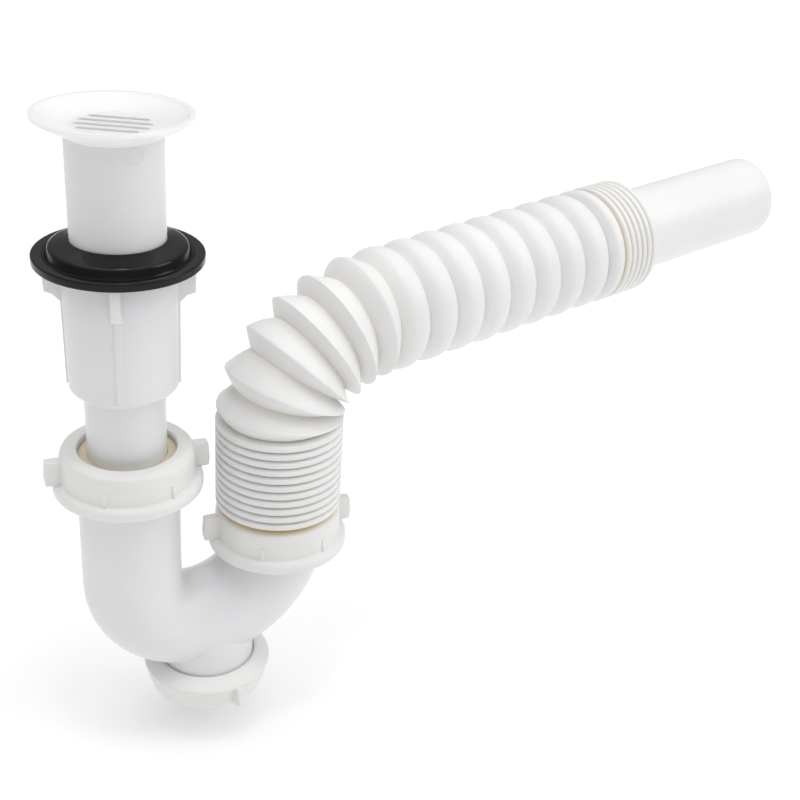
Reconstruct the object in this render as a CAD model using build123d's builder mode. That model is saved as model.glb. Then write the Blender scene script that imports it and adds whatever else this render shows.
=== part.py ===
# Flexible basin trap: waste, tailpiece, U-bend, winged nuts, clean-out cap and corrugated hose.
# Millimetres. Z is up along the waste column, X runs from the bend's inlet to its outlet.
import os
from math import cos, radians, sin

from build123d import *

# Basin waste, origin on the column axis at the flange rim
FLANGE_R = 29.3
FLANGE_LIP = 1.4
CONE_DEPTH = 7.8
WASTE_R = 18.0
WASTE_WALL = 2.5
DISH_EDGE = 2.8
GRATE_SINK = 4.3
GRATE_T = 2.6
GRATE_ROWS = 4
SLOT_W = 2.4
SLOT_PITCH = 5.4
SLOT_TURN = -27.0
GRATE_EDGE = 1.5
CLAMP_GAP = 39.0

# Rubber gasket that lies on the socket
GASKET_OUT = 14.3
GASKET_H = 9.4
BRIM_T = 3.5

# Tailpiece: socket over the waste's tube, then the tail
SOCKET_LEN = 54.1
SOCKET_WALL = 3.8
SOCKET_DRAFT = 0.6
SOCKET_CLEAR = 0.2
SOCKET_SHOULDER = 9.0
TUBE_CLEAR = 3.3
SOCKET_TURN = -16.0
SOCKET_WINGS = 4
TAIL_R = 16.0
TAIL_WALL = 2.0
TAIL_SHOWN = 26.5
TAIL_IN = 27.2
WING_OUT = 6.8
WING_T = 4.0
WING_H = 13.8
RIB_W = 3.0
RIB_OUT = 0.8

# U-bend with a clean-out boss under its belly
BEND_SPAN = 65.0
LEG_CLEAR = 1.5
LEG_WALL = 3.3
CROTCH_R = 4.7
INLET_LEG = 58.2
OUTLET_LEG = 4.5
COLLAR_OUT = 2.2
COLLAR_H = 11.5
BOSS_R = 20.5
BOSS_WALL = 4.0
BOSS_LEN = 8.8

# Winged compression nuts
NUT_H = 18.1
NUT_WALL = 4.0
NUT_FLANGE_OUT = 3.2
NUT_FLANGE_T = 4.9
NUT_LIP_T = 3.0
NUT_MOUTH_CLEAR = 3.9
NUT_SHOULDER = 3.2
NUT_WING_OUT = 6.4
NUT_WING_T = 5.0
NUT_WING_TURN = -2.0
NUT_RIB_OUT = 0.8
NUT_RIB_W = 2.2
NUT_RIB_H = 6.0
THREAD_CLEAR = 0.3
SEAL_T = 5.0

# Clean-out cap
CAP_OVER_BELLY = 0.6
CAP_CLEAR = 0.6
CAP_RIM = 7.3
CAP_SLOPE = 3.6
CAP_TAPER = 3.0
CAP_SEAL_T = 2.5
CAP_FLOOR_T = 3.0
CAP_WING_OUT = 3.0
CAP_WING_TURN = -76.0

# Corrugated hose
HOSE_TURN = 13.0
HOSE_RISE = 3.9
FOLD_DEPTH = 6.6
RUN_DEPTH = 4.4
HOSE_WALL = 1.5
NECK_CLEAR = 0.4
NECK_STEP = 1.1
COLLAR_FLANGE_T = 2.5
STACK_LIFT = 1.5
STACK_RIBS = 11
STACK_PITCH = 3.8
ELBOW_R = 31.0
ELBOW_TURN = 51.7
SWEEP_R = 63.9
FIRST_PITCH = 8.6
ELBOW_RINGS = 4
ELBOW_PITCH = 11.1
EASE_PITCH = 11.0
RUN_RINGS = 8
RUN_PITCH = 14.9
LAST_PITCH = 8.6
END_RIBS = 6
END_PITCH = 3.3
END_DEPTH = 2.0
SPIGOT_R = 20.0
SPIGOT_LEN = 92.0
SPIGOT_WALL = 2.0

# Radii that follow from the sizes above
WASTE_BORE = WASTE_R - WASTE_WALL
GASKET_R = WASTE_R + GASKET_OUT
SOCKET_BORE = WASTE_R + SOCKET_CLEAR
SOCKET_R = SOCKET_BORE + SOCKET_WALL
TAIL_BORE = TAIL_R - TAIL_WALL
LEG_BORE = TAIL_R + LEG_CLEAR
LEG_R = LEG_BORE + LEG_WALL
COLLAR_R = LEG_R + COLLAR_OUT
BEND_IN_R = LEG_R + CROTCH_R
BEND_OUT_R = BEND_SPAN - BEND_IN_R
NUT_THREAD_R = COLLAR_R + THREAD_CLEAR
NUT_R = NUT_THREAD_R + NUT_WALL
NUT_FLANGE_R = NUT_R + NUT_FLANGE_OUT
NUT_MOUTH_R = TAIL_R + NUT_MOUTH_CLEAR
BOSS_BORE = BOSS_R - BOSS_WALL
CAP_BORE = BOSS_R + CAP_CLEAR
CAP_R = CAP_BORE + CAP_RIM
NECK_R = NUT_MOUTH_R - NECK_CLEAR
COLLAR_FLANGE_R = COLLAR_R - 0.4
VALLEY_R = NECK_R + NECK_STEP
CREST_R = VALLEY_R + FOLD_DEPTH
RUN_VALLEY_R = CREST_R - RUN_DEPTH
END_VALLEY_R = CREST_R - END_DEPTH

# Heights that follow from the sizes above
GASKET_TOP = -CONE_DEPTH - CLAMP_GAP
GASKET_BASE = GASKET_TOP - GASKET_H
SOCKET_BASE = GASKET_BASE - SOCKET_LEN
WASTE_END = SOCKET_BASE + SOCKET_SHOULDER + TUBE_CLEAR
INLET_NUT_TOP = SOCKET_BASE - TAIL_SHOWN
INLET_LEG_TOP = INLET_NUT_TOP - NUT_LIP_T - SEAL_T
TAIL_END = INLET_LEG_TOP - TAIL_IN
BEND_IN_Z = INLET_LEG_TOP - INLET_LEG
BEND_LOW_Z = BEND_IN_Z - BEND_IN_R
BEND_OUT_Z = BEND_LOW_Z + BEND_OUT_R
BEND_MID_X = BEND_SPAN / 2
OUTLET_LEG_TOP = BEND_OUT_Z + OUTLET_LEG
OUTLET_NUT_TOP = OUTLET_LEG_TOP + SEAL_T + NUT_LIP_T
BELLY = BEND_LOW_Z - LEG_R
CAP_TOP = BELLY + CAP_OVER_BELLY
BOSS_END = BELLY - BOSS_LEN
CAP_FLOOR = BOSS_END - CAP_SEAL_T
STACK_BASE = OUTLET_NUT_TOP + STACK_LIFT
STACK_TOP = STACK_BASE + STACK_RIBS * STACK_PITCH
OUTLET = Location((BEND_SPAN, 0, 0))

# Fold shapes: place along a ring and height of the fold, from valley 0 to crest 1
TIGHT_FOLD = ((0.18, 1), (0.82, 1), (1, 0))
LEAF_FOLD = ((0.36, 1), (1, 0))
EASE_FOLD = ((0.5, 1), (1, 0))
WIDE_FOLD = ((0.3, 0.92), (0.7, 0.92), (1, 0))


def turned(points, where=Location((0, 0, 0))):
    """A ring turned about Z from a profile of radius and height pairs."""
    with BuildPart() as ring:
        with BuildSketch(Plane.XZ):
            with BuildLine():
                Polyline(*points, close=True)
            make_face()
        revolve(axis=Axis.Z)
    return where * ring.part


def wing(inner_r, outer_r, thick, low, high, turn, slope=0.5):
    """A flat radial wing whose lower outer corner is cut back by slope."""
    with BuildPart() as blade:
        with BuildSketch(Plane.XZ):
            with BuildLine():
                Polyline((inner_r, low), (outer_r - slope, low), (outer_r, low + slope),
                         (outer_r, high), (inner_r, high), close=True)
            make_face()
        extrude(amount=thick / 2, both=True)
    return Rot(0, 0, turn) * blade.part


def waste_strainer():
    grate = -GRATE_SINK
    body = turned([
        (0, grate), (WASTE_BORE, grate), (FLANGE_R - DISH_EDGE, -0.6), (FLANGE_R - DISH_EDGE + 0.8, 0),
        (FLANGE_R, 0), (FLANGE_R, -FLANGE_LIP), (WASTE_R, -CONE_DEPTH), (WASTE_R, WASTE_END),
        (WASTE_BORE, WASTE_END), (WASTE_BORE, grate - GRATE_T), (0, grate - GRATE_T),
    ])
    reach = WASTE_BORE - GRATE_EDGE
    for row in range(GRATE_ROWS):
        offset = (row - (GRATE_ROWS - 1) / 2) * SLOT_PITCH
        length = 2 * (reach ** 2 - offset ** 2) ** 0.5
        with BuildPart() as slot:
            with BuildSketch(Plane.XY.offset(grate + 1)):
                with Locations((0, offset)):
                    SlotOverall(length, SLOT_W)
            extrude(amount=-GRATE_T - 2)
        body -= Rot(0, 0, SLOT_TURN) * slot.part
    return body


def basin_gasket():
    brim = GASKET_BASE + BRIM_T
    dome = GASKET_TOP - brim
    return turned([
        (WASTE_R, GASKET_BASE), (GASKET_R, GASKET_BASE), (GASKET_R, brim - 0.6), (GASKET_R - 0.6, brim),
        (WASTE_R + 10.4, brim), (WASTE_R + 9.4, brim - 0.8), (WASTE_R + 8.8, brim + 0.1 * dome),
        (WASTE_R + 8.0, brim + 0.45 * dome), (WASTE_R + 6.8, brim + 0.6 * dome), (WASTE_R, GASKET_TOP),
    ])


def tailpiece():
    low_r = SOCKET_R - SOCKET_DRAFT
    body = turned([
        (SOCKET_BORE, GASKET_BASE), (SOCKET_R, GASKET_BASE), (low_r, SOCKET_BASE + 2.5),
        (low_r - 2.5, SOCKET_BASE), (TAIL_R, SOCKET_BASE), (TAIL_R, TAIL_END), (TAIL_BORE, TAIL_END),
        (TAIL_BORE, SOCKET_BASE + 0.5 * SOCKET_SHOULDER), (SOCKET_BORE, SOCKET_BASE + SOCKET_SHOULDER),
    ])
    wing_low = GASKET_BASE - WING_H
    for k in range(SOCKET_WINGS):
        turn = SOCKET_TURN + 360 / SOCKET_WINGS * k
        body += wing(SOCKET_R - 1.5, SOCKET_R + WING_OUT, WING_T, wing_low, GASKET_BASE, turn, 3.5)
        body += wing(low_r - 1.5, low_r + RIB_OUT, RIB_W, SOCKET_BASE + 2.5, wing_low + 1, turn)
    return body


def nut(top):
    low = top - NUT_H
    flange = low + NUT_FLANGE_T
    body = turned([
        (NUT_MOUTH_R, top), (NUT_R - NUT_SHOULDER, top), (NUT_R - 0.3 * NUT_SHOULDER, top - 0.3 * NUT_SHOULDER),
        (NUT_R, top - NUT_SHOULDER), (NUT_R, flange), (NUT_FLANGE_R - 1.2, flange),
        (NUT_FLANGE_R, flange - 1.2), (NUT_FLANGE_R, low), (NUT_THREAD_R, low),
        (NUT_THREAD_R, top - NUT_LIP_T), (NUT_MOUTH_R, top - NUT_LIP_T),
    ])
    for turn in (NUT_WING_TURN, NUT_WING_TURN + 180):
        body += wing(NUT_R - 1.5, NUT_R + NUT_WING_OUT, NUT_WING_T, low + 4.4, top - 2.6, turn)
    for turn in (60, 120, 240, 300):
        body += wing(NUT_R - 1, NUT_R + NUT_RIB_OUT, NUT_RIB_W, flange - 1, flange + NUT_RIB_H, NUT_WING_TURN + turn)
    return body


def inlet_seal():
    top = INLET_NUT_TOP - NUT_LIP_T
    return turned([
        (TAIL_R, top), (COLLAR_R - 0.2, top), (COLLAR_R - 0.2, INLET_LEG_TOP),
        (LEG_BORE - 0.1, INLET_LEG_TOP), (TAIL_R, INLET_LEG_TOP - 4),
    ])


def bend_tube(radius, boss_radius):
    """The bend as a solid tube: inlet leg, tight quarter turn, wide quarter turn, outlet leg and boss."""
    half = sin(radians(45))
    top, end = (0, 0, INLET_LEG_TOP), (BEND_SPAN, 0, OUTLET_LEG_TOP)
    left, low, right = (0, 0, BEND_IN_Z), (BEND_IN_R, 0, BEND_LOW_Z), (BEND_SPAN, 0, BEND_OUT_Z)
    into = (BEND_IN_R * (1 - half), 0, BEND_IN_Z - BEND_IN_R * half)
    out = (BEND_IN_R + BEND_OUT_R * half, 0, BEND_OUT_Z - BEND_OUT_R * half)
    path = Line(top, left) + ThreePointArc(left, into, low) + ThreePointArc(low, out, right) + Line(right, end)
    tube = sweep(Plane(top, z_dir=(0, 0, -1)) * Circle(radius), path=path)
    boss = Pos(BEND_MID_X, 0, BOSS_END) * Cylinder(
        boss_radius, BEND_LOW_Z - BOSS_END, align=(Align.CENTER, Align.CENTER, Align.MIN))
    return tube + boss


def trap_bend():
    body = bend_tube(LEG_R, BOSS_R)
    for x, top in ((0, INLET_LEG_TOP), (BEND_SPAN, OUTLET_LEG_TOP)):
        body += Pos(x, 0, top - COLLAR_H / 2) * Cylinder(COLLAR_R, COLLAR_H)
    return body - bend_tube(LEG_BORE, BOSS_BORE)


def cleanout_seal():
    return turned([
        (BOSS_BORE, CAP_FLOOR), (BOSS_R, CAP_FLOOR), (BOSS_R, BOSS_END), (BOSS_BORE, BOSS_END),
    ], Location((BEND_MID_X, 0, 0)))


def cleanout_cap():
    low = CAP_FLOOR - CAP_FLOOR_T
    body = turned([
        (0, low), (CAP_R - CAP_TAPER - 1.5, low), (CAP_R - CAP_TAPER, low + 1.5), (CAP_R, CAP_TOP - CAP_SLOPE),
        (CAP_BORE + 1.5, CAP_TOP), (CAP_BORE, CAP_TOP), (CAP_BORE, CAP_FLOOR), (0, CAP_FLOOR),
    ])
    for turn in (CAP_WING_TURN, CAP_WING_TURN + 180):
        body += wing(CAP_R - 3.5, CAP_R + CAP_WING_OUT, NUT_WING_T, low + 2, CAP_TOP - CAP_SLOPE, turn)
    return Location((BEND_MID_X, 0, 0)) * body


def outlet_seal():
    flange_low = OUTLET_NUT_TOP - NUT_LIP_T - COLLAR_FLANGE_T
    return turned([
        (LEG_BORE, OUTLET_LEG_TOP), (COLLAR_FLANGE_R, OUTLET_LEG_TOP),
        (COLLAR_FLANGE_R, flange_low), (LEG_BORE, flange_low),
    ], OUTLET)


def folds(rings, start):
    """Places along the hose and radii for rings of pitch, crest, valley after the ring and shape."""
    places = []
    valley = VALLEY_R
    for pitch, crest, next_valley, shape in rings:
        for share, height in shape:
            floor = valley if share < 0.5 else next_valley
            places.append((start + share * pitch, floor + (crest - floor) * height))
        start += pitch
        valley = next_valley
    return places


def hose_stack():
    flange_top = OUTLET_NUT_TOP - NUT_LIP_T
    flange_low = flange_top - COLLAR_FLANGE_T
    ribs = folds([(STACK_PITCH, CREST_R, VALLEY_R, TIGHT_FOLD)] * STACK_RIBS, STACK_BASE)
    outside = [(COLLAR_FLANGE_R, flange_low), (COLLAR_FLANGE_R, flange_top), (NECK_R, flange_top)]
    outside += [(NECK_R, STACK_BASE - 0.6), (VALLEY_R, STACK_BASE)] + [(r, z) for z, r in ribs]
    inside = [(NECK_R - HOSE_WALL, flange_low), (NECK_R - HOSE_WALL, STACK_BASE)]
    for k in range(STACK_RIBS):
        middle = STACK_BASE + (k + 0.5) * STACK_PITCH
        inside += [(CREST_R - HOSE_WALL, middle), (VALLEY_R - HOSE_WALL, middle + 0.5 * STACK_PITCH)]
    return turned(outside + inside[::-1], OUTLET)


def hose_place(s):
    """In-plane place and heading of the hose's centre line, s above the top of the stack."""
    rise = radians(HOSE_RISE)
    tight = radians(ELBOW_TURN)
    ease = radians(90) - tight
    a = min(s / ELBOW_R, tight)
    b = min((s - a * ELBOW_R) / SWEEP_R, ease - rise)
    rest = s - a * ELBOW_R - b * SWEEP_R
    u = ELBOW_R * (1 - cos(a)) + SWEEP_R * (sin(ease) - sin(ease - b)) + rest * cos(rise)
    z = STACK_TOP + ELBOW_R * sin(a) + SWEEP_R * (cos(ease - b) - cos(ease)) + rest * sin(rise)
    return u, z, radians(90) - a - b


def hose_stations():
    """Places along the hose above the stack, with the outer radius at each."""
    rings = [(FIRST_PITCH, CREST_R, VALLEY_R, LEAF_FOLD)]
    rings += [(ELBOW_PITCH, CREST_R, VALLEY_R, LEAF_FOLD)] * ELBOW_RINGS
    rings += [(EASE_PITCH, CREST_R, RUN_VALLEY_R, EASE_FOLD)]
    rings += [(RUN_PITCH, CREST_R, RUN_VALLEY_R, WIDE_FOLD)] * RUN_RINGS
    rings += [(LAST_PITCH, CREST_R, END_VALLEY_R, WIDE_FOLD)]
    rings += [(END_PITCH, CREST_R, END_VALLEY_R, TIGHT_FOLD)] * END_RIBS
    stations = [(0, VALLEY_R)] + folds(rings, 0)
    end = stations[-1][0]
    return stations + [(end + 0.8, SPIGOT_R), (end + SPIGOT_LEN, SPIGOT_R)]


def hose_loft(stations, inset):
    circles = []
    for s, radius in stations:
        u, z, heading = hose_place(s)
        plane = Plane(origin=(u, 0, z), x_dir=(0, 1, 0), z_dir=(cos(heading), 0, sin(heading)))
        circles.append(plane * Circle(radius - inset))
    return loft(circles, ruled=True)


def hose_arm():
    stations = hose_stations()
    tip, radius = stations[-1]
    through = stations[:-1] + [(tip + 1, radius + HOSE_WALL - SPIGOT_WALL)]
    body = hose_loft(stations, 0) - hose_loft(through, HOSE_WALL)
    return OUTLET * Rot(0, 0, HOSE_TURN) * body


PIECES = {
    "waste_strainer": waste_strainer(),
    "basin_gasket": basin_gasket(),
    "tailpiece": tailpiece(),
    "inlet_seal": inlet_seal(),
    "inlet_nut": nut(INLET_NUT_TOP),
    "trap_bend": trap_bend(),
    "cleanout_seal": cleanout_seal(),
    "cleanout_cap": cleanout_cap(),
    "outlet_seal": outlet_seal(),
    "outlet_nut": OUTLET * nut(OUTLET_NUT_TOP),
    "hose_stack": hose_stack(),
    "hose_arm": hose_arm(),
}

os.makedirs("parts", exist_ok=True)
for name, solid in PIECES.items():
    export_step(solid, os.path.join("parts", name + ".step"))
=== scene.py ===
# Flexible basin trap: finish, small details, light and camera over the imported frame.
# Lengths are in millimetres and heights are from the waste flange's rim; mm() makes metres of both.
# Where a value is in metres from the start, the heading of its block says so.
from math import cos, pi, radians, sin

import bmesh
import bpy
from mathutils import Matrix, Vector


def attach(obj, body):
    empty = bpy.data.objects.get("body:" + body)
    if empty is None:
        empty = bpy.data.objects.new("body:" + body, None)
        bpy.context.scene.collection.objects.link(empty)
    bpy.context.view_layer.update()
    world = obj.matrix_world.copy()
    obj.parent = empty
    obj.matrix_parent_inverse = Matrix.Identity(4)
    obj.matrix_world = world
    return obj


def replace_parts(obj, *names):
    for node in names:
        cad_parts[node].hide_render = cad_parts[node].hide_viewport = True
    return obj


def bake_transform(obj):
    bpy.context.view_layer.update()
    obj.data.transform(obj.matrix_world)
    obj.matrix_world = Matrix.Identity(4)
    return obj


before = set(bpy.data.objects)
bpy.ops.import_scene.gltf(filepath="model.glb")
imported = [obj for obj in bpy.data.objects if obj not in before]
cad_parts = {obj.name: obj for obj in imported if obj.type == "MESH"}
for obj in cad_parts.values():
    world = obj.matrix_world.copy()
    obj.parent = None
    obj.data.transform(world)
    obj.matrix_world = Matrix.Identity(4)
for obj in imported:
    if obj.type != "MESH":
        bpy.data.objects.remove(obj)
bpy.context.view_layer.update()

# Waste and gasket; the steps of the gasket's groove and dome go out from DOME_R and up from the brim
WASTE_R = 18.0
GASKET_BORE = 18.05
GASKET_R = 32.3
GASKET_BASE = -56.2
GASKET_H = 9.4
BRIM_T = 3.5
DOME_R = 26.8
DOME_STEPS = ((1.6, 0), (0.6, -0.8), (0, 0.6), (-0.8, 2.7), (-2.0, 3.5), (-6.6, 4.9))
GASKET_ROUND = 0.9
MARK_TURN = -78.0
MARK_Z = -11.3
MARK_R = 3.0
MARK_W = 0.5
MARK_H = 0.06
MARK_SINK = 0.03
MARK_SPANS = 48
MARK_SIDES = 8

# Tailpiece; a thickness has two values, at the root and at the tip
SOCKET_R = 22.0
SOCKET_BORE = 18.2
SOCKET_DRAFT = 0.6
SOCKET_CHAMFER = 2.5
SOCKET_BASE = -110.3
SOCKET_SHOULDER = 9.0
SOCKET_STEP = 5.0
SOCKET_TURN = -16.0
SOCKET_WINGS = 4
WING_R = 28.8
WING_H = 12.6
WING_ROOT_H = 16.5
WING_GAP = 0.05
WING_SINK = 1.2
WING_TOE = 0.4
WING_CURVE = (3.5, 1.0)
WING_DRAFT = 0.4
WING_T = (4.2, 3.6)
RIB_GAP = 0.1
RIB_LOW_OUT = 0.1
RIB_HIGH_OUT = 0.5
RIB_DROP = 15.0
RIB_T = (3.0, 2.7)
RIB_BEVEL = 0.3
SOCKET_ROUND = 0.5
TAIL_R = 16.0
TAIL_BORE = 14.0
TAIL_END = -172.0

# Nuts and washers; a nut's foot, waist, root, edge and side are heights over its lower face
BEND_SPAN = 65.0
INLET_NUT_TOP = -136.8
OUTLET_NUT_TOP = -176.5
NUT_H = 18.1
NUT_R = 27.3
NUT_FLANGE_R = 30.5
NUT_THREAD_R = 23.3
NUT_MOUTH_R = 19.9
NUT_LIP_T = 3.0
NUT_SHOULDER = 3.2
NUT_SHOULDER_EASE = 0.9
NUT_FLANGE_ROOT = 5.0
NUT_FLANGE_EDGE = 4.6
NUT_FLANGE_SIDE = 3.4
NUT_FLANGE_EASE = 0.9
BROAD_WING_BEVEL = 0.7
NUT_ROUND = 1.1
ROUND_STEPS = 6
NUT_WING_R = 33.7
NUT_WING_TURN = -2.0
NUT_WING_SINK = 1.4
NUT_WING_FOOT = 4.5
NUT_WING_WAIST = 8.4
NUT_WING_DROP = 2.7
NUT_WING_DRAFT = (0.4, 0.6)
NUT_WING_T = (5.2, 4.2)
NUT_RIB_R = 28.1
NUT_RIB_SINK = 0.6
NUT_RIB_FOOT = 4.4
NUT_RIB_TOP = 10.8
NUT_RIB_DRAFT = 0.3
NUT_RIB_T = (2.2, 1.8)
NUT_RIB_TURNS = (60, 120, 240, 300)
SEAL_T = 5.0
CONE_DROP = 4.0
LEG_BORE = 17.5
FLAT_SEAL_T = 2.5
FLAT_SEAL_R = 22.6
CONE_R = FLAT_SEAL_R + 0.2
CONE_BORE = TAIL_R + 0.05
CONE_FIT = 0.1
SEAL_ROUND = 0.3
INLET_LEG_TOP = INLET_NUT_TOP - NUT_LIP_T - SEAL_T
OUTLET_LEG_TOP = OUTLET_NUT_TOP - NUT_LIP_T - SEAL_T

# Clean-out boss and cap
BOSS_R = 20.5
BOSS_BORE = 16.5
BOSS_END = -258.1
BOSS_TURNS = 3
BOSS_PITCH = 2.6
THREAD_START = 0.6
THREAD_SINK = 0.2
THREAD_H = 0.4
THREAD_DROPS = (0, 0.4, 1.0, 1.4)
CAP_R = 28.4
CAP_BORE = 21.1
CAP_TOP = -248.7
CAP_SLOPE = 3.6
CAP_FLOOR_T = 3.0
CAP_TAPER = 3.2
CAP_RIM_W = 1.5
CAP_ROUND = 1.1
CAP_WING_R = 31.2
CAP_WING_SINK = 3.8
CAP_WING_FOOT = 2.1
CAP_WING_DRAFT = 1.0
CAP_WING_T = (5.0, 3.6)
CAP_WING_TURN = -76.0

# Corrugated hose; the steps of the spigot's fillet and lip go along it and out from its radius.
# A fold's tan value is the share of tan painted as shade at the bottom of the fold, and UNDERSIDE
# is the share of the lowest rib's pitch that is as tan as the neck
HOSE_TURN = 13.0
HOSE_RISE = 3.9
HOSE_WALL = 1.5
COLLAR_R = 22.6
COLLAR_EASE = 0.2
NECK_START = 0.1
NECK_END = 0.6
NECK_R = 19.5
CREST_R = 27.2
VALLEY_R = 20.6
TIGHT_DEPTH = 4.0
RUN_DEPTH = 4.4
END_DEPTH = 2.0
STACK_BASE = -175.0
STACK_RIBS = 11
STACK_PITCH = 3.8
STACK_TOP = STACK_BASE + STACK_RIBS * STACK_PITCH
ELBOW_R = 31.0
ELBOW_TURN = 51.7
SWEEP_R = 63.9
FIRST_PITCH = 8.6
ELBOW_RINGS = 4
ELBOW_PITCH = 11.1
EASE_PITCH = 11.0
RUN_RINGS = 8
RUN_PITCH = 14.9
LAST_PITCH = 8.6
END_RIBS = 6
END_PITCH = 3.3
SPIGOT_R = 20.0
SPIGOT_LEN = 92.0
SPIGOT_SPANS = 12
SPIGOT_ROOT = 1.0
SPIGOT_FILLET = ((0.6, 0.2), (1.2, 0))
SPIGOT_LIP = ((-1.2, 0), (-0.4, -0.3), (0, -0.9))
LEAF_CREST = 0.36
FOLD_POWERS = {"tight": 5, "leaf": 1.06, "ease": 1.3, "wide": 2.6}
TIGHT_STEPS = 14
OPEN_STEPS = 20
# Painted shade: the tan shares of the folds and of the inside tint the bottoms of the folds and the
# inside of the hose; NECK_TAN and UNDERSIDE tan the neck and the lowest rib's underside
STACK_SHADE_TAN = 0.1
ELBOW_SHADE_TAN = 0.15
EASE_SHADE_TAN = 0.1
END_SHADE_TAN = 0.6
NECK_TAN = 1.0
INSIDE_SHADE_TAN = 0.05
OPEN_SHADE_POWER = 3
UNDERSIDE = 0.35

# Stage, light and camera; the floor lies under the cap when the bend is at its lowest. FLOOR_SIZE,
# LIGHT_TARGET and the place and size of each light are in metres, and its power is in watts
FLOOR_Z = -284.5
FLOOR_SIZE = 30.0
FLOOR_GREY = 0.90
FLOOR_ROUGHNESS = 0.9
FLOOR_GLOW = 0.10
SKY_POWER = 3.0
SKY_TOP = 1.75
SKY_BASE = 0.29
BACKDROP = 1.0
LIGHTS = (
    ("right_side", (2.5, -1.1, 1.6), 1.8, 22),
    ("overhead", (0.0, -0.3, 1.4), 0.25, 1.6),
)
LIGHT_TARGET = (0.12, 0.0, -0.12)
CAMERA_SPOT = (109.1, -440.1, 125.7)
CAMERA_PITCH = 27.89
CAMERA_ROLL = -4.14
CAMERA_HEADING = 25.4
FOCAL_PIXELS = 1261.4
PHOTO_PIXELS = 800
SENSOR = 36.0

# Mesh and materials; WELD, GRAIN_HEIGHT and GLOW_DEPTH are in metres, and angles in degrees
SEGMENTS = 128
AXIS_R = 0.02
ON_AXIS = 1e-6
WELD = 1e-7
CORNER_SHARE = 0.4
CORNER_STEPS = 4
BEVEL = 0.5
BEVEL_SEGMENTS = 3
BEVEL_PROFILE = 0.6
SHARP_ANGLE = 35
SMOOTH_ANGLE = 60
MARK_ANGLE = 80
CLOUD_SCALE = 22
CLOUD_DETAIL = 4
CLOUD_SPAN = (0.35, 0.65)
CLOUD_DIM = 0.96
GRAIN_SCALE = 1400
GRAIN_DETAIL = 3
GRAIN_HEIGHT = 0.0001
ROUGH_SPREAD = (-0.05, 0.07)
GLOW_DEPTH = 0.006


def mm(*values):
    return tuple(v / 1000 for v in values)


# Materials
def moulded(name, colour, roughness, grain, tint=None, neck_tan_and_fold_shade=None, gloss=0.4, glow=0.0):
    """Moulded plastic or rubber: cloudy colour, fine grain, and a second colour from the fold
    attribute, painted as shade into deep folds.
    """
    mat = bpy.data.materials.new(name)
    mat.use_nodes = True
    nodes, links = mat.node_tree.nodes, mat.node_tree.links
    shader = nodes["Principled BSDF"]
    place = nodes.new("ShaderNodeTexCoord")
    cloud = nodes.new("ShaderNodeTexNoise")
    cloud.inputs["Scale"].default_value = CLOUD_SCALE
    cloud.inputs["Detail"].default_value = CLOUD_DETAIL
    links.new(place.outputs["Object"], cloud.inputs["Vector"])
    ramp = nodes.new("ShaderNodeValToRGB")
    other = tint or tuple(c * CLOUD_DIM for c in colour)
    ramp.color_ramp.elements[0].position = CLOUD_SPAN[0]
    ramp.color_ramp.elements[0].color = (*other, 1)
    ramp.color_ramp.elements[1].position = CLOUD_SPAN[1]
    ramp.color_ramp.elements[1].color = (*colour, 1)
    links.new(cloud.outputs["Fac"], ramp.inputs["Fac"])
    base = ramp.outputs["Color"]
    if neck_tan_and_fold_shade:
        # Painted shade: the fold attribute mixes the second colour into the bottoms of folds, and
        # fully on the hose's neck
        depth = nodes.new("ShaderNodeAttribute")
        depth.attribute_name = "fold"
        mix = nodes.new("ShaderNodeMix")
        mix.data_type = "RGBA"
        mix.inputs["B"].default_value = (*neck_tan_and_fold_shade, 1)
        links.new(depth.outputs["Fac"], mix.inputs["Factor"])
        links.new(base, mix.inputs["A"])
        base = mix.outputs["Result"]
    links.new(base, shader.inputs["Base Color"])
    fine = nodes.new("ShaderNodeTexNoise")
    fine.inputs["Scale"].default_value = GRAIN_SCALE
    fine.inputs["Detail"].default_value = GRAIN_DETAIL
    links.new(place.outputs["Object"], fine.inputs["Vector"])
    rough = nodes.new("ShaderNodeMapRange")
    rough.inputs["To Min"].default_value = roughness + ROUGH_SPREAD[0]
    rough.inputs["To Max"].default_value = roughness + ROUGH_SPREAD[1]
    links.new(fine.outputs["Fac"], rough.inputs["Value"])
    links.new(rough.outputs["Result"], shader.inputs["Roughness"])
    bump = nodes.new("ShaderNodeBump")
    bump.inputs["Strength"].default_value = grain
    bump.inputs["Distance"].default_value = GRAIN_HEIGHT
    links.new(fine.outputs["Fac"], bump.inputs["Height"])
    links.new(bump.outputs["Normal"], shader.inputs["Normal"])
    shader.inputs["Specular IOR Level"].default_value = gloss
    shader.inputs["Subsurface Weight"].default_value = glow
    shader.inputs["Subsurface Radius"].default_value = (1, 1, 1)
    shader.inputs["Subsurface Scale"].default_value = GLOW_DEPTH
    return mat


# TAN is the colour of the hose's neck and the painted shade in its folds
TAN = (0.76, 0.58, 0.30)
BLACK = (0.004, 0.004, 0.0045)
DUSTY_BLACK = (0.006, 0.006, 0.0065)
WHITE = moulded("cool_white_plastic", (0.800, 0.804, 0.815), 0.32, 0.10)
THIN_WHITE = moulded("waste_plastic", (0.830, 0.832, 0.838), 0.32, 0.10, glow=0.6)
WARM = moulded("warm_white_plastic", (0.815, 0.813, 0.802), 0.36, 0.12)
HOSE = moulded("hose_plastic", (0.825, 0.824, 0.818), 0.42, 0.12, neck_tan_and_fold_shade=TAN)
RUBBER = moulded("black_rubber", BLACK, 0.12, 0.10, tint=DUSTY_BLACK, gloss=0.24)
CREAM = moulded("cream_rubber", (0.74, 0.66, 0.50), 0.55, 0.20)


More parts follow.
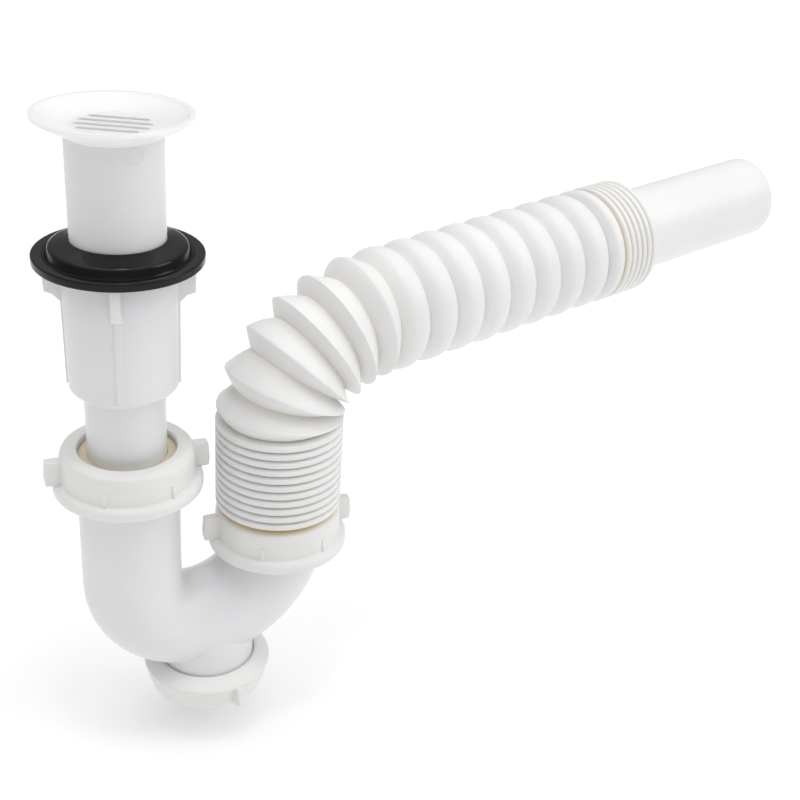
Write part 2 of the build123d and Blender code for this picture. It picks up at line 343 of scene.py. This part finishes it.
# Mesh helpers
def soften(points, radius, steps=CORNER_STEPS):
    """Rounds the corners of a closed profile, apart from those on the axis."""
    out = []
    n = len(points)
    for i in range(n):
        a, p, b = (Vector(points[(i + k) % n]) for k in (-1, 0, 1))
        if p.x < ON_AXIS:
            out.append(p)
            continue
        reach = min(radius, (a - p).length * CORNER_SHARE, (b - p).length * CORNER_SHARE)
        start = p + (a - p).normalized() * reach
        end = p + (b - p).normalized() * reach
        for k in range(steps + 1):
            t = k / steps
            out.append(start * (1 - t) ** 2 + p * 2 * t * (1 - t) + end * t * t)
    return out


def finish_mesh(bm, name, mat, body, angle=SHARP_ANGLE):
    """Makes the mesh an object with its material, slot and body; edges past angle stay sharp."""
    bmesh.ops.remove_doubles(bm, verts=bm.verts, dist=WELD)
    bmesh.ops.recalc_face_normals(bm, faces=bm.faces)
    mesh = bpy.data.meshes.new(name)
    bm.to_mesh(mesh)
    bm.free()
    mesh.shade_smooth()
    mesh.set_sharp_from_angle(angle=radians(angle))
    mesh.materials.append(mat)
    obj = bpy.data.objects.new(name, mesh)
    bpy.context.collection.objects.link(obj)
    if body:
        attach(obj, body)
    return obj


def add_rings(bm, rings):
    """Skins a list of rings of points and joins the last ring to the first."""
    grid = [[bm.verts.new(mm(*p)) for p in ring] for ring in rings]
    for a, b in zip(grid, grid[1:] + grid[:1]):
        count = len(a)
        for k in range(count):
            n = (k + 1) % count
            bm.faces.new([a[k], a[n], b[n], b[k]])
    return grid


def add_lathe(bm, profile, x=0.0):
    """Turns a closed profile of radius and height pairs about the upright axis at x."""
    rings = []
    for r, z in profile:
        r = max(r, AXIS_R)
        ring = []
        for k in range(SEGMENTS):
            a = 2 * pi * k / SEGMENTS
            ring.append((x + r * cos(a), r * sin(a), z))
        rings.append(ring)
    add_rings(bm, rings)


def add_block(bm, corners, thickness, turn, x=0.0, bevel=BEVEL):
    """A radial wing from its outline of radius and height pairs; its thickness tapers outwards."""
    thick_in, thick_out = thickness
    low_r = min(r for r, z in corners)
    high_r = max(r for r, z in corners)
    block = bmesh.new()
    sides = []
    for side in (-1, 1):
        face = []
        for r, z in corners:
            t = thick_in + (thick_out - thick_in) * (r - low_r) / (high_r - low_r)
            face.append(block.verts.new((r, side * t / 2, z)))
        sides.append(face)
    block.faces.new(sides[0])
    block.faces.new(sides[1][::-1])
    for k in range(len(corners)):
        n = (k + 1) % len(corners)
        block.faces.new([sides[0][k], sides[0][n], sides[1][n], sides[1][k]])
    bmesh.ops.recalc_face_normals(block, faces=block.faces)
    bmesh.ops.bevel(block, geom=block.edges[:], offset=bevel, segments=BEVEL_SEGMENTS,
                      affect="EDGES", profile=BEVEL_PROFILE)
    move = Matrix.Translation((x, 0, 0)) @ Matrix.Rotation(radians(turn), 4, "Z")
    block.transform(Matrix.Scale(0.001, 4) @ move)
    temp = bpy.data.meshes.new("block")
    block.to_mesh(temp)
    block.free()
    bm.from_mesh(temp)
    bpy.data.meshes.remove(temp)


def rectangle(inner, outer, low, high):
    return [(inner, low), (outer, low), (outer, high), (inner, high)]


def gasket():
    """Rubber gasket with its brim, groove and dome."""
    bm = bmesh.new()
    brim = GASKET_BASE + BRIM_T
    add_lathe(bm, soften([
        (GASKET_BORE, GASKET_BASE),
        (GASKET_R, GASKET_BASE),
        (GASKET_R, brim),
        *((DOME_R + out, brim + up) for out, up in DOME_STEPS),
        (GASKET_BORE, GASKET_BASE + GASKET_H),
    ], GASKET_ROUND, ROUND_STEPS))
    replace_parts(finish_mesh(bm, "gasket", RUBBER, "tail", SMOOTH_ANGLE), "basin_gasket")


def tailpiece():
    """Socket with four wings, a rib under each wing, and the tail."""
    bm = bmesh.new()
    foot_r = SOCKET_R - SOCKET_DRAFT
    chamfer_top = SOCKET_BASE + SOCKET_CHAMFER
    add_lathe(bm, soften([
        (SOCKET_BORE, GASKET_BASE),
        (SOCKET_R, GASKET_BASE),
        (foot_r, chamfer_top),
        (foot_r - SOCKET_CHAMFER, SOCKET_BASE),
        (TAIL_R, SOCKET_BASE),
        (TAIL_R, TAIL_END),
        (TAIL_BORE, TAIL_END),
        (TAIL_BORE, SOCKET_BASE + SOCKET_STEP),
        (SOCKET_BORE, SOCKET_BASE + SOCKET_SHOULDER),
    ], SOCKET_ROUND))
    top = GASKET_BASE - WING_GAP
    root = SOCKET_R - WING_SINK
    rib_root = foot_r - WING_SINK
    rib_low = chamfer_top + RIB_GAP
    rib_high = top - RIB_DROP
    wing = [
        (root, top - WING_ROOT_H),
        (SOCKET_R + WING_TOE, top - WING_ROOT_H),
        (WING_R - WING_CURVE[0], top - WING_H - WING_CURVE[1]),
        (WING_R - WING_DRAFT, top - WING_H),
        (WING_R, top),
        (root, top),
    ]
    rib = [
        (rib_root, rib_low),
        (SOCKET_R + RIB_LOW_OUT, rib_low),
        (SOCKET_R + RIB_HIGH_OUT, rib_high),
        (rib_root, rib_high),
    ]
    for k in range(SOCKET_WINGS):
        turn = SOCKET_TURN + 360 / SOCKET_WINGS * k
        add_block(bm, wing, WING_T, turn)
        add_block(bm, rib, RIB_T, turn, bevel=RIB_BEVEL)
    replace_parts(finish_mesh(bm, "tailpiece_shell", WHITE, "tail"), "tailpiece")


def winged_nut(name, node, body, top, x):
    """Compression nut with a rounded shoulder, a foot flange, two wings and four small ribs."""
    low = top - NUT_H
    bm = bmesh.new()
    add_lathe(bm, soften([
        (NUT_MOUTH_R, top),
        (NUT_R - NUT_SHOULDER, top),
        (NUT_R - NUT_SHOULDER_EASE, top - NUT_SHOULDER_EASE),
        (NUT_R, top - NUT_SHOULDER),
        (NUT_R, low + NUT_FLANGE_ROOT),
        (NUT_FLANGE_R - NUT_FLANGE_EASE, low + NUT_FLANGE_EDGE),
        (NUT_FLANGE_R, low + NUT_FLANGE_SIDE),
        (NUT_FLANGE_R, low),
        (NUT_THREAD_R, low),
        (NUT_THREAD_R, top - NUT_LIP_T),
        (NUT_MOUTH_R, top - NUT_LIP_T),
    ], NUT_ROUND, ROUND_STEPS), x)
    wing = [
        (NUT_R - NUT_WING_SINK, low + NUT_WING_FOOT),
        (NUT_WING_R - NUT_WING_DRAFT[0], low + NUT_WING_FOOT),
        (NUT_WING_R, low + NUT_WING_WAIST),
        (NUT_WING_R - NUT_WING_DRAFT[1], top - NUT_WING_DROP),
        (NUT_R - NUT_WING_SINK, top - NUT_WING_DROP),
    ]
    rib = [
        (NUT_R - NUT_RIB_SINK, low + NUT_RIB_FOOT),
        (NUT_RIB_R, low + NUT_RIB_FOOT),
        (NUT_RIB_R - NUT_RIB_DRAFT, low + NUT_RIB_TOP),
        (NUT_R - NUT_RIB_SINK, low + NUT_RIB_TOP),
    ]
    for turn in (NUT_WING_TURN, NUT_WING_TURN + 180):
        add_block(bm, wing, NUT_WING_T, turn, x, BROAD_WING_BEVEL)
    for turn in NUT_RIB_TURNS:
        add_block(bm, rib, NUT_RIB_T, NUT_WING_TURN + turn, x, RIB_BEVEL)
    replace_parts(finish_mesh(bm, name, WARM, body), node)


def washer(name, node, body, profile, x):
    bm = bmesh.new()
    add_lathe(bm, soften(profile, SEAL_ROUND), x)
    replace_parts(finish_mesh(bm, name, CREAM, body), node)


def washers():
    """Cone washer on the inlet leg, and flat washers on the outlet leg and in the cap."""
    cone = [
        (CONE_BORE, INLET_LEG_TOP + SEAL_T),
        (CONE_R, INLET_LEG_TOP + SEAL_T),
        (CONE_R, INLET_LEG_TOP),
        (LEG_BORE - CONE_FIT, INLET_LEG_TOP),
        (CONE_BORE, INLET_LEG_TOP - CONE_DROP),
    ]
    washer("washer_inlet", "inlet_seal", "seal", cone, 0)
    flat = rectangle(LEG_BORE, FLAT_SEAL_R, OUTLET_LEG_TOP, OUTLET_LEG_TOP + FLAT_SEAL_T)
    washer("washer_outlet", "outlet_seal", "bend", flat, BEND_SPAN)
    flat = rectangle(BOSS_BORE, BOSS_R, BOSS_END - FLAT_SEAL_T, BOSS_END)
    washer("washer_cleanout", "cleanout_seal", "cap", flat, BEND_SPAN / 2)


def cleanout_cap():
    """Cap with a sloped top rim, walls that taper downwards, and two wings."""
    bm = bmesh.new()
    floor = BOSS_END - FLAT_SEAL_T
    low = floor - CAP_FLOOR_T
    rim = CAP_TOP - CAP_SLOPE
    add_lathe(bm, soften([
        (0, low),
        (CAP_R - CAP_TAPER, low),
        (CAP_R, rim),
        (CAP_BORE + CAP_RIM_W, CAP_TOP),
        (CAP_BORE, CAP_TOP),
        (CAP_BORE, floor),
        (0, floor),
    ], CAP_ROUND, ROUND_STEPS), BEND_SPAN / 2)
    wing = [
        (CAP_R - CAP_WING_SINK, low + CAP_WING_FOOT),
        (CAP_WING_R, low + CAP_WING_FOOT),
        (CAP_WING_R - CAP_WING_DRAFT, rim),
        (CAP_R - CAP_WING_SINK, rim),
    ]
    for turn in (CAP_WING_TURN, CAP_WING_TURN + 180):
        add_block(bm, wing, CAP_WING_T, turn, BEND_SPAN / 2, BROAD_WING_BEVEL)
    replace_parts(finish_mesh(bm, "cap_cleanout", WARM, "cap"), "cleanout_cap")


def carried_over(node, mat):
    """A CAD piece that keeps its own mesh and gets a material."""
    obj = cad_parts[node]
    obj.data.materials.clear()
    obj.data.materials.append(mat)


def gate_mark():
    """Raised round moulding mark on the waste's tube, under the flange."""
    bm = bmesh.new()
    loops = []
    for k in range(MARK_SPANS):
        t = 2 * pi * k / MARK_SPANS
        loop = []
        for j in range(MARK_SIDES):
            p = 2 * pi * j / MARK_SIDES
            reach = MARK_R + MARK_W * cos(p)
            lift = WASTE_R - MARK_SINK + MARK_H * sin(p)
            a = radians(MARK_TURN) + reach * cos(t) / WASTE_R
            loop.append((lift * cos(a), lift * sin(a), MARK_Z + reach * sin(t)))
        loops.append(loop)
    add_rings(bm, loops)
    finish_mesh(bm, "gate_mark", WHITE, "waste", MARK_ANGLE)


def boss_thread():
    """Thread turns on the clean-out boss, seen in the gap inside the cap."""
    bm = bmesh.new()
    root = BOSS_R - THREAD_SINK
    crest = BOSS_R + THREAD_H
    for k in range(BOSS_TURNS):
        z = CAP_TOP - THREAD_START - BOSS_PITCH * k
        turn = [(r, z - drop) for r, drop in zip((root, crest, crest, root), THREAD_DROPS)]
        add_lathe(bm, turn, BEND_SPAN / 2)
    finish_mesh(bm, "boss_thread", WARM, "bend")


# Corrugated hose, one continuous moulding from the collar to the spigot
def hose_path(s):
    """Point and heading of the hose's centre line, s millimetres above the stack's top."""
    rise = radians(HOSE_RISE)
    tight = radians(ELBOW_TURN)
    ease = radians(90) - tight
    if s <= 0:
        return 0.0, STACK_TOP + s, pi / 2
    a = min(s / ELBOW_R, tight)
    b = min((s - a * ELBOW_R) / SWEEP_R, ease - rise)
    rest = s - a * ELBOW_R - b * SWEEP_R
    u = ELBOW_R * (1 - cos(a)) + SWEEP_R * (sin(ease) - sin(ease - b)) + rest * cos(rise)
    z = STACK_TOP + ELBOW_R * sin(a) + SWEEP_R * (cos(ease - b) - cos(ease)) + rest * sin(rise)
    return u, z, pi / 2 - a - b


def fold_wave(t, shape):
    """Height of a fold at phase t: 0 at its valleys and 1 at its crest."""
    crest = LEAF_CREST if shape == "leaf" else 0.5
    away = (crest - t) / crest if t < crest else (t - crest) / (1 - crest)
    return 1 - away ** FOLD_POWERS[shape]


def hose_folds():
    """Folds from the collar up: pitch, radius of the valley after it, shape and share of tan painted
    as shade in the fold's bottom.
    """
    run_valley = CREST_R - RUN_DEPTH
    end_valley = CREST_R - END_DEPTH
    folds = [(STACK_PITCH, CREST_R - TIGHT_DEPTH, "tight", STACK_SHADE_TAN)] * STACK_RIBS
    folds += [(FIRST_PITCH, VALLEY_R, "leaf", ELBOW_SHADE_TAN)]
    folds += [(ELBOW_PITCH, VALLEY_R, "leaf", ELBOW_SHADE_TAN)] * ELBOW_RINGS
    folds += [(EASE_PITCH, run_valley, "ease", EASE_SHADE_TAN)]
    folds += [(RUN_PITCH, run_valley, "wide", 0)] * RUN_RINGS
    folds += [(LAST_PITCH, end_valley, "wide", 0)]
    folds += [(END_PITCH, end_valley, "tight", END_SHADE_TAN)] * (END_RIBS - 1)
    folds += [(END_PITCH, end_valley, "tight", 0)]
    return folds


def hose_profile():
    """Stations of the hose's outside: place along it, radius, and share of tan, which is painted
    shade in the folds and the neck's tan on the neck.
    """
    collar_low = OUTLET_LEG_TOP + FLAT_SEAL_T - STACK_TOP
    collar_top = OUTLET_NUT_TOP - NUT_LIP_T - STACK_TOP
    s = STACK_BASE - STACK_TOP
    out = [
        (collar_low, COLLAR_R - COLLAR_EASE, 0),
        (collar_low + COLLAR_EASE, COLLAR_R, 0),
        (collar_top - COLLAR_EASE, COLLAR_R, 0),
        (collar_top, COLLAR_R - COLLAR_EASE, 0),
        (collar_top + NECK_START, NECK_R, NECK_TAN),
        (s - NECK_END, NECK_R, NECK_TAN),
    ]
    valley = CREST_R - TIGHT_DEPTH
    for k, (pitch, next_valley, shape, fold_shade_share) in enumerate(hose_folds()):
        steps = TIGHT_STEPS if shape == "tight" else OPEN_STEPS
        for j in range(steps):
            t = j / steps
            h = fold_wave(t, shape)
            foot = valley if t < 0.5 else next_valley
            # Painted shade: the tan share grows towards the bottom of each fold
            depth = 1 - h if shape == "tight" else (1 - h) ** OPEN_SHADE_POWER
            under_lowest_rib = k == 0 and t < UNDERSIDE
            tan = NECK_TAN if under_lowest_rib else fold_shade_share * depth
            out.append((s + t * pitch, foot + (CREST_R - foot) * h, tan))
        s += pitch
        valley = next_valley
    end = s + SPIGOT_LEN
    out.append((s, VALLEY_R + SPIGOT_ROOT, 0))
    out += [(s + along, SPIGOT_R + up, 0) for along, up in SPIGOT_FILLET]
    out += [(s + SPIGOT_LEN * k / SPIGOT_SPANS, SPIGOT_R, 0) for k in range(1, SPIGOT_SPANS)]
    out += [(end + along, SPIGOT_R + up, 0) for along, up in SPIGOT_LIP]
    return out


def hose():
    """Skins the outside and the inside of the hose as one closed mesh across both hose bodies."""
    outside = hose_profile()
    # Painted shade: the inside of the hose gets a little tan
    inside = [(s, r - HOSE_WALL, INSIDE_SHADE_TAN) for s, r, tan in outside][::-1]
    turn = radians(HOSE_TURN)
    rings = []
    for s, r, tan in outside + inside:
        u, z, heading = hose_path(s)
        ring = []
        for k in range(SEGMENTS):
            a = 2 * pi * k / SEGMENTS
            across = r * cos(a)
            side = r * sin(a)
            along = u - across * sin(heading)
            ring.append((
                BEND_SPAN + along * cos(turn) - side * sin(turn),
                along * sin(turn) + side * cos(turn),
                z + across * cos(heading),
            ))
        rings.append(ring)
    bm = bmesh.new()
    # The fold layer carries the tan: painted shade in the folds and inside, and the neck's tan
    layer = bm.verts.layers.float.new("fold")
    grid = add_rings(bm, rings)
    for ring, (s, r, tan) in zip(grid, outside + inside):
        for v in ring:
            v[layer] = tan
    obj = finish_mesh(bm, "hose", HOSE, None, SMOOTH_ANGLE)
    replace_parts(obj, "hose_stack", "hose_arm")
    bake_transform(obj)


# Stage
def pale_floor():
    bpy.ops.mesh.primitive_plane_add(size=FLOOR_SIZE, location=mm(0, 0, FLOOR_Z))
    floor = bpy.context.object
    floor.name = "floor"
    mat = bpy.data.materials.new("pale_floor")
    mat.use_nodes = True
    shader = mat.node_tree.nodes["Principled BSDF"]
    shader.inputs["Base Color"].default_value = (FLOOR_GREY, FLOOR_GREY, FLOOR_GREY, 1)
    shader.inputs["Roughness"].default_value = FLOOR_ROUGHNESS
    shader.inputs["Emission Color"].default_value = (1, 1, 1, 1)
    shader.inputs["Emission Strength"].default_value = FLOOR_GLOW
    floor.data.materials.append(mat)


def studio_sky():
    """Sky that is brightest straight above, like a softbox, and white where the camera sees it."""
    world = bpy.data.worlds.new("studio")
    world.use_nodes = True
    nodes, links = world.node_tree.nodes, world.node_tree.links
    look = nodes.new("ShaderNodeTexCoord")
    split = nodes.new("ShaderNodeSeparateXYZ")
    links.new(look.outputs["Generated"], split.inputs["Vector"])
    climb = nodes.new("ShaderNodeMath")
    climb.operation = "POWER"
    climb.use_clamp = True
    climb.inputs[1].default_value = SKY_POWER
    links.new(split.outputs["Z"], climb.inputs[0])
    glow = nodes.new("ShaderNodeMath")
    glow.operation = "MULTIPLY_ADD"
    glow.inputs[1].default_value = SKY_TOP
    glow.inputs[2].default_value = SKY_BASE
    links.new(climb.outputs["Value"], glow.inputs[0])
    ray = nodes.new("ShaderNodeLightPath")
    backdrop = nodes.new("ShaderNodeMix")
    links.new(ray.outputs["Is Camera Ray"], backdrop.inputs["Factor"])
    links.new(glow.outputs["Value"], backdrop.inputs["A"])
    backdrop.inputs["B"].default_value = BACKDROP
    background = nodes["Background"]
    background.inputs["Color"].default_value = (1, 1, 1, 1)
    links.new(backdrop.outputs["Result"], background.inputs["Strength"])
    bpy.context.scene.world = world


def area_light(name, place, size, power):
    data = bpy.data.lights.new(name, "AREA")
    data.shape = "DISK"
    data.size = size
    data.energy = power
    obj = bpy.data.objects.new(name, data)
    obj.location = place
    obj.rotation_euler = (Vector(LIGHT_TARGET) - Vector(place)).to_track_quat("-Z", "Y").to_euler()
    bpy.context.collection.objects.link(obj)


def photo_camera():
    """Camera at the photograph's place, from its pitch, its roll and its heading round the part."""
    pitch = radians(CAMERA_PITCH)
    roll = radians(CAMERA_ROLL)
    turn = Matrix.Rotation(-radians(CAMERA_HEADING), 3, "Z")
    forward = turn @ Vector((0, cos(pitch), -sin(pitch)))
    level_right = turn @ Vector((1, 0, 0))
    level_down = turn @ Vector((0, -sin(pitch), -cos(pitch)))
    right = cos(roll) * level_right + sin(roll) * level_down
    down = -sin(roll) * level_right + cos(roll) * level_down
    spot = turn @ Vector(mm(*CAMERA_SPOT))
    data = bpy.data.cameras.new("camera")
    data.sensor_width = SENSOR
    data.lens = FOCAL_PIXELS * SENSOR / PHOTO_PIXELS
    obj = bpy.data.objects.new("camera", data)
    obj.matrix_world = Matrix((
        (right.x, -down.x, -forward.x, spot.x),
        (right.y, -down.y, -forward.y, spot.y),
        (right.z, -down.z, -forward.z, spot.z),
        (0, 0, 0, 1),
    ))
    bpy.context.collection.objects.link(obj)
    bpy.context.scene.camera = obj


gasket()
tailpiece()
winged_nut("nut_inlet", "inlet_nut", "nut_in", INLET_NUT_TOP, 0)
winged_nut("nut_outlet", "outlet_nut", "nut_out", OUTLET_NUT_TOP, BEND_SPAN)
washers()
cleanout_cap()
carried_over("waste_strainer", THIN_WHITE)
carried_over("trap_bend", WHITE)
gate_mark()
boss_thread()
hose()

pale_floor()
studio_sky()
for light in LIGHTS:
    area_light(*light)
photo_camera()
bpy.context.scene.view_settings.view_transform = "Standard"
